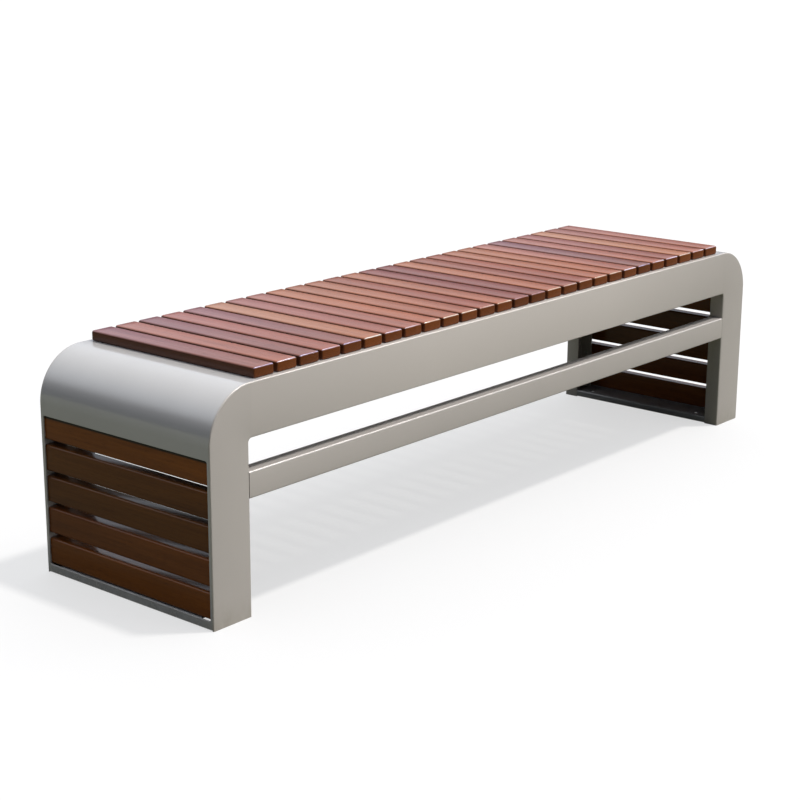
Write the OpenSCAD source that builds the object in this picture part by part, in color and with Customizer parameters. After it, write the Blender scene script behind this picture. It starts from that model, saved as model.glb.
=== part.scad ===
// Backless bench: two welded side frames, hardwood seat slats laid across them, and two ends closed
// by rolled steel shells with a window of horizontal hardwood slats.
// Millimetres. X runs along the bench, -Y is the front, Z is up. The origin is on the floor, under
// the middle of the seat.

/* [Overall size] */
// Length of the bench over both end shells
bench_l = 1800; // [1500:10:2160]
// Width of the bench over both side frames
bench_w = 450; // [370:5:540]
// Height of the seat surface above the floor
seat_h = 450; // [370:5:540]

/* [Side frames] */
// Thickness of the folded steel sheet in the frames
sheet = 3; // [2:0.5:4]
// Depth of the folded channels, measured in from the face
frame_d = 35; // [28:1:45]
// Width of a leg, seen from the front
leg_w = 94; // [75:1:115]
// Height of the top rail, seen from the front
rail_h = 100; // [80:1:120]
// Outer radius of the two top corners of a side frame
corner_r = 100; // [80:1:120]
// Radius in the upper corners of the opening between the legs
opening_r = 8; // [4:1:12]
// Height of the stretcher between the legs
stretcher_h = 50; // [40:1:60]
// Height of the opening between the top rail and the stretcher
rail_gap = 60; // [40:1:75]

/* [Seat slats] */
// Width of every timber slat
slat_w = 50; // [40:1:60]
// Thickness of the seat slats
slat_t = 20; // [16:1:26]
// Radius on the long edges of every slat
slat_r = 4; // [2:0.5:6]
// Smallest gap between two seat slats; the slats spread to fill the seat
seat_gap = 8; // [5:0.5:12]
// Length of the flat between the round corner and the first seat slat
corner_flat = 20; // [12:1:30]
// Distance that the slat ends stand back from the face of the side frame
seat_setback = 11; // [6:1:24]

/* [End shells] */
// Thickness of the rolled sheet
shell_t = 3; // [2:0.5:4]
// Length of the sheet's flat end that lies under the first seat slat
shell_lap = 10; // [6:1:14]
// Height of the gap between the floor and the lower edge of the shell
floor_gap = 2; // [1:0.5:5]
// Height of the window's sill above the floor
sill_h = 17; // [12:1:25]
// Distance from the top of the side frame down to the top of the window
window_drop = 121; // [105:1:145]
// Width of the strip of face plate and shell beside the window
window_side = 8; // [6:0.5:14]
// Radius in the corners of the window
window_r = 4; // [2:0.5:8]

/* [End slats] */
// Thickness of the end slats
end_slat_t = 28; // [16:1:32]
// Smallest gap between two end slats; the slats spread to fill the window
end_gap = 11; // [8:0.5:16]
// Gap between the sill and the lowest end slat
sill_clear = 1.5; // [1:0.5:4]
// Height of the topmost end slat that the shell hides
end_cover = 4; // [2:0.5:8]
// Gap between the ends of an end slat and the face plates
end_slat_clear = 1; // [0.5:0.5:3]

/* [Bearers and fixings] */
// Side of the square tube across the bench under each end of the seat
cross_s = 30; // [20:1:38]
// Width of the tube that runs under the middle of the seat
bearer_w = 40; // [30:1:50]
// Height of the tube that runs under the middle of the seat
bearer_h = 20; // [16:1:28]
// Wall of the square tube and of the middle tube
tube_wall = 2; // [1.5:0.5:3]
// Shank diameter of the slat screws
screw_d = 5; // [4:0.5:6]
// Depth of a slat screw in the timber
screw_bite = 14; // [10:1:14]
// Head diameter of the slat screws
head_d = 10; // [8:0.5:12]
// Head height of the slat screws
head_h = 2.5; // [2:0.5:4]
// Gap all round a shank in its hole
screw_clear = 0.15; // [0.05:0.05:0.3]
// Diameter of the four holes for the floor anchors
anchor_d = 12; // [8:0.5:16]
// Distance from a leg to the nearest anchor hole's centre
anchor_in = 36; // [16:1:50]
// Distance from the base bar's inner side to an anchor hole's centre
anchor_edge = 20; // [16:1:40]

/* [Hidden] */
$fn = 48;
eps = 1;
frame_h = seat_h - slat_t;
stretcher_z = frame_h - rail_h - rail_gap - stretcher_h;
half_l = bench_l / 2;
half_w = bench_w / 2;
// The corner piece of a leg reaches past the round corner and past the fillet of the opening.
corner_w = max(corner_r, leg_w + opening_r);
// The seat is filled with as many slats as fit, and the rest of the length goes into the gaps.
seat_end = corner_r + corner_flat;
seat_l = bench_l - 2 * seat_end;
seat_count = floor((seat_l + seat_gap) / (slat_w + seat_gap));
seat_pitch = (seat_l - slat_w) / (seat_count - 1);
seat_slat_l = bench_w - 2 * seat_setback;
// The window is filled in the same way.
window_top = frame_h - window_drop;
end_z = sill_h + sill_clear;
end_field = window_top + end_cover - end_z;
end_count = floor((end_field + end_gap) / (slat_w + end_gap));
end_pitch = (end_field - slat_w) / (end_count - 1);
end_slat_l = bench_w - 2 * (sheet + end_slat_clear);
// The end slats lie between the shell and the slat flange of the legs.
flange_x = shell_t + end_slat_t;
shell_flat = seat_end + shell_lap;
// The cross tube starts where the rolled corner ends, and the middle bearer starts at the tube.
bearer_start = corner_r + cross_s;
// A seat screw is in the middle of the lap between the top flange and the slat.
seat_screw_y = half_w - (frame_d + seat_setback) / 2;
end_screw_y = half_w - (frame_d + sheet) / 2;
hole_d = screw_d + 2 * screw_clear;
anchor_x = half_l - leg_w + anchor_edge;
anchor_y = half_w - frame_d - anchor_in;

function pad2(n) = str(n < 10 ? "0" : "", n);
function seat_name(i) = str("seat_slat_", pad2(i));
function end_name(side, i) = str(side, "_end_slat_", i);
function seat_x(i) = (i - 1 - (seat_count - 1) / 2) * seat_pitch;
function end_slat_z(i) = end_z + slat_w / 2 + (i - 1) * end_pitch;

// Everything is drawn for the front or the left end. These two turn it to the other side.
module to_rear(yes) {
    mirror([0, yes ? 1 : 0, 0]) children();
}

module to_right(yes) {
    mirror([yes ? 1 : 0, 0, 0]) children();
}

// A rectangle with four round corners, centred on the origin.
module round_rect(w, h, r) {
    square([w, h - 2 * r], center = true);
    square([w - 2 * r, h], center = true);
    for (sx = [-1, 1]) {
        for (sy = [-1, 1]) {
            translate([sx * (w / 2 - r), sy * (h / 2 - r)]) circle(r);
        }
    }
}

// A closed box given by its two extreme corners.
module box(low, high) {
    translate(low) cube(high - low);
}

// A rectangular tube along X, open at both ends.
module tube_x(low, high, wall) {
    difference() {
        box(low, high);
        box(low + [-eps, wall, wall], high + [eps, -wall, -wall]);
    }
}

// One seat slat lies across the bench, with a blind hole for each of its three screws.
module seat_slat(i) {
    color("sienna")
    difference() {
        translate([seat_x(i), 0, frame_h + slat_t / 2])
            rotate([90, 0, 0])
            linear_extrude(seat_slat_l, center = true)
            round_rect(slat_w, slat_t, slat_r);
        for (y = [-seat_screw_y, 0, seat_screw_y]) {
            translate([seat_x(i), y, frame_h - eps])
                cylinder(d = hole_d, h = screw_bite + 2 * screw_clear + eps);
        }
    }
}

// One end slat lies across the bench behind the window, with a blind hole near each end.
module end_slat(i) {
    color("saddlebrown")
    difference() {
        translate([shell_t + end_slat_t / 2 - half_l, 0, end_slat_z(i)])
            rotate([90, 0, 0])
            linear_extrude(end_slat_l, center = true)
            round_rect(end_slat_t, slat_w, slat_r);
        for (y = [-end_screw_y, end_screw_y]) {
            translate([flange_x - half_l + eps, y, end_slat_z(i)])
                rotate([0, -90, 0])
                cylinder(d = hole_d, h = screw_bite + 2 * screw_clear + eps);
        }
    }
}

// Face of a leg with its round top corner. X is counted from the end of the bench.
module leg_face() {
    difference() {
        square([corner_w, frame_h]);
        translate([leg_w, -eps]) square([corner_w, frame_h - rail_h - opening_r + eps]);
        translate([leg_w + opening_r, -eps]) square([corner_w, frame_h - rail_h + eps]);
        translate([leg_w + opening_r, frame_h - rail_h - opening_r]) circle(opening_r);
        difference() {
            translate([-eps, frame_h - corner_r]) square(corner_r + eps);
            translate([corner_r, frame_h - corner_r]) circle(corner_r);
        }
    }
}

// Quarter of a sheet ring that carries the leg's inner flange round into the rail's lower flange.
module opening_bend() {
    translate([leg_w + opening_r, frame_h - rail_h - opening_r])
    difference() {
        circle(opening_r + sheet);
        circle(opening_r);
        translate([0, -2 * corner_w]) square(4 * corner_w);
        translate([-2 * corner_w, -4 * corner_w]) square(4 * corner_w);
    }
}

// A leg is a folded channel, open towards the middle of the bench: a face plate, an inner flange,
// a slat flange that the end slats are screwed to, and a foot plate.
module leg() {
    color("lightgray")
    translate([-half_l, -half_w, 0])
    difference() {
        union() {
            translate([0, sheet, 0]) rotate([90, 0, 0]) linear_extrude(sheet) leg_face();
            box([leg_w - sheet, 0, 0], [leg_w, frame_d, frame_h - rail_h - opening_r]);
            translate([0, frame_d, 0]) rotate([90, 0, 0]) linear_extrude(frame_d) opening_bend();
            if (corner_w > leg_w + opening_r) {
                box([leg_w + opening_r, 0, frame_h - rail_h], [corner_w, frame_d, frame_h - rail_h + sheet]);
            }
            box([flange_x, 0, 0], [flange_x + sheet, frame_d, frame_h - corner_r]);
            box([flange_x, 0, 0], [leg_w, frame_d, sheet]);
        }
        for (i = [1:end_count]) {
            translate([flange_x - eps, half_w - end_screw_y, end_slat_z(i)])
                rotate([0, 90, 0])
                cylinder(d = hole_d, h = sheet + 2 * eps);
        }
    }
}

// The top rail is a channel between the corner pieces. Its top flange carries the slats, and stops
// where the flats of the end shells begin.
module top_rail() {
    rail_x = half_l - corner_w;
    flange_end = half_l - shell_flat;
    color("silver")
    difference() {
        union() {
            box([-rail_x, -half_w, frame_h - rail_h], [rail_x, sheet - half_w, frame_h]);
            box([-rail_x, -half_w, frame_h - rail_h], [rail_x, frame_d - half_w, frame_h - rail_h + sheet]);
            box([-flange_end, -half_w, frame_h - sheet], [flange_end, frame_d - half_w, frame_h]);
        }
        for (i = [1:seat_count]) {
            translate([seat_x(i), -seat_screw_y, frame_h - sheet - eps])
                cylinder(d = hole_d, h = sheet + 2 * eps);
        }
    }
}

module stretcher() {
    side_x = half_l - leg_w;
    color("gray")
    tube_x([-side_x, -half_w, stretcher_z], [side_x, frame_d - half_w, stretcher_z + stretcher_h], sheet);
}

// Section of the end shell: down the end of the bench, round the corner and on under the seat.
// X is counted from the end of the bench.
module shell_section() {
    translate([0, floor_gap]) square([shell_t, frame_h - corner_r - floor_gap]);
    translate([corner_r, frame_h - shell_t]) square([shell_flat - corner_r, shell_t]);
    translate([corner_r, frame_h - corner_r])
    difference() {
        circle(corner_r);
        circle(corner_r - shell_t);
        translate([0, -2 * corner_r]) square(4 * corner_r);
        translate([-2 * corner_r, -4 * corner_r]) square(4 * corner_r);
    }
}

module end_shell() {
    window_w = bench_w - 2 * window_side;
    window_h = window_top - sill_h;
    color("lightsteelblue")
    difference() {
        translate([-half_l, 0, 0])
            rotate([90, 0, 0])
            linear_extrude(bench_w - 2 * sheet, center = true)
            shell_section();
        translate([-half_l - eps, 0, sill_h + window_h / 2])
            rotate([90, 0, 90])
            linear_extrude(shell_t + 2 * eps)
            round_rect(window_w, window_h, window_r);
    }
}

// The base bar is a shallow channel, open below, that ties two legs at the floor.
module base_bar() {
    low = [shell_t - half_l, frame_d - half_w, floor_gap];
    high = [leg_w - half_l, half_w - frame_d, sill_h];
    color("dimgray")
    difference() {
        box(low, high);
        box(low + [sheet, -eps, -eps], high + [-sheet, eps, -sheet]);
        for (y = [-anchor_y, anchor_y]) {
            translate([-anchor_x, y, 0]) cylinder(d = anchor_d, h = sill_h + eps);
        }
    }
}

// The cross tube stands between the two face plates and holds up the flat of the end shell.
module cross_tube() {
    low = [corner_r - half_l, sheet - half_w, frame_h - shell_t - cross_s];
    high = [bearer_start - half_l, half_w - sheet, frame_h - shell_t];
    color("slategray")
    difference() {
        box(low, high);
        box(low + [tube_wall, -eps, tube_wall], high + [-tube_wall, eps, -tube_wall]);
    }
}

// The middle bearer runs from cross tube to cross tube. Its screws go in through access holes below.
module middle_bearer() {
    bearer_x = half_l - bearer_start;
    color("slategray")
    difference() {
        tube_x([-bearer_x, -bearer_w / 2, frame_h - bearer_h], [bearer_x, bearer_w / 2, frame_h], tube_wall);
        for (i = [1:seat_count]) {
            translate([seat_x(i), 0, frame_h - bearer_h - eps]) {
                cylinder(d = head_d + 2, h = tube_wall + 2 * eps);
                cylinder(d = hole_d, h = bearer_h + 2 * eps);
            }
        }
    }
}

// A slat screw points up, with the underside of its head at z = 0.
module slat_screw(plate) {
    cylinder(d = screw_d, h = plate + screw_bite);
    translate([0, 0, -head_h]) cylinder(d = head_d, h = head_h);
}

module seat_screws() {
    color("gainsboro")
    for (i = [1:seat_count]) {
        for (s = [-1, 1]) {
            translate([seat_x(i), s * seat_screw_y, frame_h - sheet]) slat_screw(sheet);
        }
        translate([seat_x(i), 0, frame_h - tube_wall]) slat_screw(tube_wall);
    }
}

module end_screws() {
    color("gainsboro")
    for (right = [false, true]) {
        to_right(right)
        for (i = [1:end_count]) {
            for (s = [-1, 1]) {
                translate([flange_x + sheet - half_l, s * end_screw_y, end_slat_z(i)])
                    rotate([0, -90, 0])
                    slat_screw(sheet);
            }
        }
    }
}

for (i = [1:seat_count]) {
    seat_slat(i);
}
for (i = [1:end_count]) {
    end_slat(i);
    to_right(true) end_slat(i);
}
top_rail();  // front_top_rail
to_rear(true) top_rail();  // rear_top_rail
stretcher();  // front_stretcher
to_rear(true) stretcher();  // rear_stretcher
leg();  // front_left_leg
to_right(true) leg();  // front_right_leg
to_rear(true) leg();  // rear_left_leg
to_rear(true) to_right(true) leg();  // rear_right_leg
end_shell();  // left_end_shell
to_right(true) end_shell();  // right_end_shell
base_bar();  // left_base_bar
to_right(true) base_bar();  // right_base_bar
cross_tube();  // left_cross_tube
to_right(true) cross_tube();  // right_cross_tube
middle_bearer();
seat_screws();
end_screws();
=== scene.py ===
# %% [markdown]
# # A backless street bench
#
# Two side frames of folded steel carry hardwood slats. Each end is closed by a rolled steel shell
# with a window, and more slats lie behind that window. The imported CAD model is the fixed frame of
# this lesson: it gives every size and place, and each new surface takes its box from it.
#
# A CAD model has knife-sharp edges and one flat colour. Real planed timber and folded sheet catch
# the light on their round edges, so most pieces are made again here as finer surfaces, and each one
# stands for the CAD node that it covers.

import math

import bpy
import bmesh
import numpy as np
from mathutils import Matrix, Vector


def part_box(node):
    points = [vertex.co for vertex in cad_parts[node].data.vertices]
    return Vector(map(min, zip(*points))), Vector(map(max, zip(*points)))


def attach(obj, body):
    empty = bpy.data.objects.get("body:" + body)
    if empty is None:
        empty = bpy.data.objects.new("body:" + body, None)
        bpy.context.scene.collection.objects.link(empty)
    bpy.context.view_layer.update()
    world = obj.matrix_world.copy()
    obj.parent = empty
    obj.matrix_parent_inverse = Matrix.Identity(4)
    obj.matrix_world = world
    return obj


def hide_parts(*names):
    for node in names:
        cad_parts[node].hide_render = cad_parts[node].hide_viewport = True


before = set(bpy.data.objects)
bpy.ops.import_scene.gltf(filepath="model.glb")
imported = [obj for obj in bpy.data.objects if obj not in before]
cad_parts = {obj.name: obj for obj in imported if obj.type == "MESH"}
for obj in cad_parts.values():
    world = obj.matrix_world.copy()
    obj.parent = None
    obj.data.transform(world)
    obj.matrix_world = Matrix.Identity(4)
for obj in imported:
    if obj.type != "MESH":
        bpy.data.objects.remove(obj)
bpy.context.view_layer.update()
MM = 0.001
RNG = np.random.default_rng(27)
print("nodes:", len(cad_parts))


# %% [markdown]
# ## Sizes that the frame gives
#
# The legs, rails and shells share a few sizes. Reading them from the frame's boxes keeps the new
# surfaces on the old ones: the half length, the height of the side frame, the depth of its channels.
# Only radii, and the top of the shell's window, which a box can't show, are written down.

# %% Read the shared sizes
leg_low, leg_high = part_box("front_left_leg")
rail_low, rail_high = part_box("front_top_rail")
tie_low, tie_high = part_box("front_stretcher")
shell_low, shell_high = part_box("left_end_shell")
HALF_L = -leg_low[0]
HALF_W = -leg_low[1]
FRAME_H = leg_high[2]
FRAME_D = leg_high[1] - leg_low[1]
CORNER_W = leg_high[0] - leg_low[0]
LEG_W = HALF_L + tie_low[0]
RAIL_H = rail_high[2] - rail_low[2]
SHEET = HALF_W + shell_low[1]
SHELL_END = shell_high[0] - shell_low[0]
CORNER_R = 100 * MM
OPENING_R = CORNER_W - LEG_W
FACE_EASE = 2.2 * MM
FOLD_R = 3 * MM
LIP_EASE = 0.7 * MM
WINDOW_TOP = FRAME_H - 121 * MM
print("leg", round(LEG_W, 4), "rail", round(RAIL_H, 4))
print("depth", round(FRAME_D, 4), "sheet", round(SHEET, 4))


# %% [markdown]
# ## Surfaces from arrays
#
# A long piece is a closed outline carried along a path. If every station of the path has the same
# number of points, the stations stack into a grid, and the faces of a grid follow from its row and
# column numbers alone. Two flat faces close the ends. No loop ever visits a single point.

# %% Grid faces, sweeps and mesh making
def grid_quads(rows, cols, wrap):
    """Corners of the quads of a grid: each quad joins a point to its right neighbour and to the two
    points one row on. With wrap, the last column is joined to the first."""
    row = np.arange(rows - 1)[:, None]
    col = np.arange(cols if wrap else cols - 1)[None, :]
    here, right = row * cols + col, row * cols + (col + 1) % cols
    return np.stack([here, right, right + cols, here + cols], axis=-1).reshape(-1, 4)


def sweep(stations):
    """A closed tube through an array of stations (rows, points, 3), with a flat face at each end."""
    rows, cols, _ = stations.shape
    caps = [list(range(cols)), list(range((rows - 1) * cols, rows * cols))]
    return stations.reshape(-1, 3), grid_quads(rows, cols, True).tolist() + caps


def join(parts):
    """Several (points, faces) surfaces as one: each part's faces are raised by the points before it."""
    counts = np.cumsum([0] + [len(points) for points, _ in parts])
    faces = [[int(i) + int(base) for i in face] for (_, fs), base in zip(parts, counts) for face in fs]
    return np.concatenate([points for points, _ in parts]), faces


def make_piece(name, parts, material, nodes, marks=None, smooth_angle=40):
    """Puts surfaces into one mesh object that rides on the root body and stands for CAD nodes."""
    points, faces = join(parts)
    mesh = bpy.data.meshes.new(name)
    mesh.from_pydata(points.tolist(), [], faces)
    for mark, values in (marks or {}).items():
        kind = "FLOAT_VECTOR" if values.ndim == 2 else "FLOAT"
        layer = mesh.attributes.new(mark, kind, "POINT")
        layer.data.foreach_set("vector" if values.ndim == 2 else "value", values.astype(np.float32).ravel())
    work = bmesh.new()
    work.from_mesh(mesh)
    bmesh.ops.remove_doubles(work, verts=work.verts, dist=1e-6)
    bmesh.ops.delete(work, geom=[v for v in work.verts if not v.link_faces], context="VERTS")
    bmesh.ops.recalc_face_normals(work, faces=work.faces)
    work.to_mesh(mesh)
    work.free()
    mesh.polygons.foreach_set("use_smooth", np.ones(len(mesh.polygons), dtype=bool))
    mesh.set_sharp_from_angle(angle=math.radians(smooth_angle))
    mesh.materials.append(material)
    piece = bpy.data.objects.new(name, mesh)
    bpy.context.scene.collection.objects.link(piece)
    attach(piece, "root")
    if nodes:
        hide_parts(*nodes)
    return piece


# %% [markdown]
# ## A bar with round edges
#
# Every slat, and every plain strip of steel, is a bar whose long edges and ends are eased. Its
# section is a rounded rectangle. Near each end the section shrinks as the round end needs: at a
# distance d from the end, with easing radius r, it stands in by r minus the square root of
# r squared minus (r - d) squared.

# %% The bar
def quarter(steps):
    """Angles from 0 to a right angle, both ends included."""
    return np.linspace(0, math.pi / 2, steps + 1)


def rounded_section(half_a, half_b, radius, steps=7):
    """Points of a rounded rectangle: four corner centres, each with a quarter circle round it."""
    angle = quarter(steps)
    turns = np.concatenate([angle + k * math.pi / 2 for k in range(4)])
    side_a = np.repeat([1, -1, -1, 1], steps + 1) * (half_a - radius)
    side_b = np.repeat([1, 1, -1, -1], steps + 1) * (half_b - radius)
    return side_a + radius * np.cos(turns), side_b + radius * np.sin(turns)


def bar(low, high, axis, radius, ease, lengths=1, steps=7, wave=None):
    """A box from low to high whose edges along axis are round by radius, and whose ends are eased.
    wave(a, b, along) may push the sides in by a few hundredths of a millimetre."""
    low, high = np.array(low, dtype=float), np.array(high, dtype=float)
    a, b = [k for k in range(3) if k != axis]
    centre, half = (low + high) / 2, (high - low) / 2
    turn = quarter(4) if ease > 0 else np.zeros(1)
    inset = ease * (1 - np.sin(turn))
    start = -half[axis] + ease * (1 - np.cos(turn))
    middle = np.linspace(start[-1], -start[-1], lengths + 1)[1:-1]
    along = np.concatenate([start, middle, -start[::-1]])
    inset = np.concatenate([inset, np.zeros(len(middle)), inset[::-1]])
    rows = [rounded_section(half[a] - i, half[b] - i, max(radius - i, 0.2 * MM), steps) for i in inset]
    points = np.zeros((len(along), len(rows[0][0]), 3))
    points[:, :, a] = np.array([r[0] for r in rows])
    points[:, :, b] = np.array([r[1] for r in rows])
    points[:, :, axis] = along[:, None]
    if wave:
        shrink = wave(points[:, :, a], points[:, :, b], points[:, :, axis])
        points[:, :, a] *= 1 - shrink / half[a]
        points[:, :, b] *= 1 - shrink / half[b]
    return sweep(points + centre)


# %% [markdown]
# ## A folded sheet with holes
#
# The end shell and the base bar are flat sheets that were punched and then rolled or folded. It is
# easiest to think in the flat: u runs along the sheet, v across it, and a grid of lines in u and v
# gives the quads. Around a hole the grid's cells are left out, and a ring of quads joins the grid to
# the hole's edge. Then one function folds the flat sheet, by turning each u into a place and a
# normal on a path, and w steps in from the outer face by the sheet's thickness.

# %% The path, the ring and the sheet
def bent_path(corners, radii, steps=24):
    """A path of straight runs and round bends. A bend of radius r that turns by t starts r tan(t/2)
    before its corner. Returns fold(u) -> (place, normal) and the u of every run and bend step."""
    corners = [np.array(c, dtype=float) for c in corners]
    places, turns = [corners[0]], []
    heading = (corners[1] - corners[0]) / np.linalg.norm(corners[1] - corners[0])
    turns.append(math.atan2(heading[1], heading[0]))
    for before, here, after, r in zip(corners, corners[1:], corners[2:], radii):
        d0 = (here - before) / np.linalg.norm(here - before)
        d1 = (after - here) / np.linalg.norm(after - here)
        a0 = math.atan2(d0[1], d0[0])
        turn = (math.atan2(d1[1], d1[0]) - a0 + math.pi) % (2 * math.pi) - math.pi
        side = np.array([-d0[1], d0[0]]) * math.copysign(1, turn)
        start = here - d0 * r * math.tan(abs(turn) / 2)
        for t in np.linspace(0, turn, steps + 1):
            lean = abs(t)
            places.append(start + d0 * r * math.sin(lean) + side * r * (1 - math.cos(lean)))
            turns.append(a0 + t)
    places.append(corners[-1])
    turns.append(turns[-1])
    places, turns = np.array(places), np.array(turns)
    u = np.concatenate([[0], np.cumsum(np.linalg.norm(np.diff(places, axis=0), axis=1))])

    def fold(at):
        """Place and outward normal at lengths at, read between the path's steps."""
        turn = np.interp(at, u, turns)
        place = np.stack([np.interp(at, u, places[:, 0]), np.interp(at, u, places[:, 1])], axis=-1)
        return place, np.stack([np.sin(turn), -np.cos(turn)], axis=-1)

    return fold, u


def ring_index(i0, i1, j0, j1, cols):
    """Numbers of the grid points round a block of cells, once round, without a repeat."""
    i, j = np.arange(i0, i1), np.arange(j0, j1)
    walk_i = np.concatenate([i, np.full(len(j), i1), i1 - (i - i0), np.full(len(j), i0)])
    walk_j = np.concatenate([np.full(len(i), j0), j, np.full(len(i), j1), j1 - (j - j0)])
    return walk_i * cols + walk_j


def holed_sheet(us, vs, holes, place, thick, ease=0.5 * MM):
    """A sheet over grid lines us and vs. Each hole is (centre u, v, half u, half v, radius, margin):
    a rounded rectangle, nearest to a grid point in the direction away from its straight core."""
    us, vs = np.array(sorted(us)), np.array(sorted(vs))
    cols, plane = len(vs), len(us) * len(vs)
    flat = np.stack(np.meshgrid(us, vs, indexing="ij"), axis=-1).reshape(-1, 2)
    quads = grid_quads(len(us), cols, False)
    middle = flat[quads].mean(axis=1)
    keep = np.ones(len(quads), dtype=bool)
    points = [place(flat[:, 0], flat[:, 1], np.full(plane, depth)) for depth in (0.0, thick)]
    count, faces = 2 * plane, []
    for cu, cv, hu, hv, radius, margin in holes:
        inside = (abs(middle[:, 0] - cu) < hu + margin) & (abs(middle[:, 1] - cv) < hv + margin)
        keep &= ~inside
        i0, i1 = np.searchsorted(us, [cu - hu - margin - 1e-7, cu + hu + margin - 1e-7])
        j0, j1 = np.searchsorted(vs, [cv - hv - margin - 1e-7, cv + hv + margin - 1e-7])
        loop = ring_index(i0, i1, j0, j1, cols)
        core = np.array([hu - radius, hv - radius])
        away = flat[loop] - [cu, cv]
        base = np.clip(away, -core, core)
        away = (away - base) / np.linalg.norm(away - base, axis=1)[:, None]
        angle = quarter(3)
        out = np.concatenate([ease * (1 - np.sin(angle)), ease * (1 - np.sin(angle[::-1]))])
        deep = np.concatenate([ease * (1 - np.cos(angle)), thick - ease * (1 - np.cos(angle[::-1]))])
        rings = [np.array([cu, cv]) + base + (radius + o) * away for o in out]
        n = len(loop)
        walk = [loop] + [count + k * n + np.arange(n) for k in range(len(out))] + [loop + plane]
        points += [place(r[:, 0], r[:, 1], np.full(n, d)) for r, d in zip(rings, deep)]
        count += n * len(out)
        for one, two in zip(walk, walk[1:]):
            faces.append(np.stack([one, np.roll(one, -1), np.roll(two, -1), two], axis=-1))
    border = ring_index(0, len(us) - 1, 0, len(vs) - 1, cols)
    nxt = np.roll(border, -1)
    rim = np.stack([border, nxt, nxt + plane, border + plane], axis=-1)
    faces += [quads[keep], quads[keep][:, ::-1] + plane, rim]
    return np.concatenate(points), np.concatenate(faces).tolist()


# %% [markdown]
# ## Finishes: shared effects
#
# Two effects are used by several finishes, so each is a node group. The first is timber: long soft
# streaks, thin dark pores and a slow change of tone, all stretched along the board, with rings on
# the sawn ends. Light and shade are painted on it too: faces that don't look up are darker as painted
# shade, the rounded rims of the ends get a painted pale highlight, and a painted shade line lies under
# the lip of the window. The top also goes paler and greyer towards the rear, and the clear film soaks
# into sawn ends and narrow sides, so it is thin there. The second is powder coat: a faint orange-peel
# relief with a slow change of gloss, paint made paler near the bench's middle as painted light, and
# a little dust that has settled low down. A group only gives colours and values; the Principled
# shader stays in each material.

# %% Helpers for node trees
def node(tree, kind, at=(0, 0), **values):
    """A new node. A value named like an input is put there, and any other is set on the node."""
    new = tree.nodes.new(kind)
    new.location = at
    for key, value in values.items():
        key = key.replace("_", " ") if key.replace("_", " ") in new.inputs else key
        if key in new.inputs:
            new.inputs[key].default_value = value
        else:
            setattr(new, key, value)
    return new


def math_node(tree, operation, first, second=None, clamp=False):
    """A Math node whose inputs are sockets or plain numbers. Returns its output socket."""
    new = tree.nodes.new("ShaderNodeMath")
    new.operation, new.use_clamp = operation, clamp
    for slot_number, value in enumerate([first, second]):
        if isinstance(value, (int, float)):
            new.inputs[slot_number].default_value = value
        elif value is not None:
            tree.links.new(value, new.inputs[slot_number])
    return new.outputs[0]


def mix_colour(tree, factor, first, second, blend="MIX"):
    """A colour Mix node whose inputs are sockets or plain colours. Returns its output socket."""
    new = tree.nodes.new("ShaderNodeMix")
    new.data_type, new.blend_type = "RGBA", blend
    for socket, value in zip([new.inputs[0], new.inputs[6], new.inputs[7]], [factor, first, second]):
        if isinstance(value, (int, float, tuple)):
            socket.default_value = value
        else:
            tree.links.new(value, socket)
    return new.outputs[2]


def stretched(tree, vector, scale, detail=3.0, roughness=0.5, size=1.0, distortion=0.0):
    """Noise whose pattern is stretched by a different scale on each axis. Returns its value socket."""
    mapping = node(tree, "ShaderNodeMapping")
    mapping.inputs["Scale"].default_value = scale
    noise = node(tree, "ShaderNodeTexNoise", Scale=size, Detail=detail, Roughness=roughness,
                 Distortion=distortion)
    tree.links.new(vector, mapping.inputs["Vector"])
    tree.links.new(mapping.outputs[0], noise.inputs["Vector"])
    return noise.outputs["Fac"]


def levels(tree, value, low, high, to_low=0.0, to_high=1.0):
    """A Map Range node that is clamped at both ends. Returns its output socket."""
    new = node(tree, "ShaderNodeMapRange", From_Min=low, From_Max=high, To_Min=to_low, To_Max=to_high)
    tree.links.new(value, new.inputs["Value"])
    return new.outputs[0]


def new_group(name, inputs, outputs):
    """An empty node group with named sockets. Returns the tree and its input and output nodes."""
    tree = bpy.data.node_groups.new(name, "ShaderNodeTree")
    for label, kind, value in inputs:
        socket = tree.interface.new_socket(label, in_out="INPUT", socket_type=kind)
        if value is not None:
            socket.default_value = value
    for label, kind in outputs:
        tree.interface.new_socket(label, in_out="OUTPUT", socket_type=kind)
    return tree, tree.nodes.new("NodeGroupInput"), tree.nodes.new("NodeGroupOutput")


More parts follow.
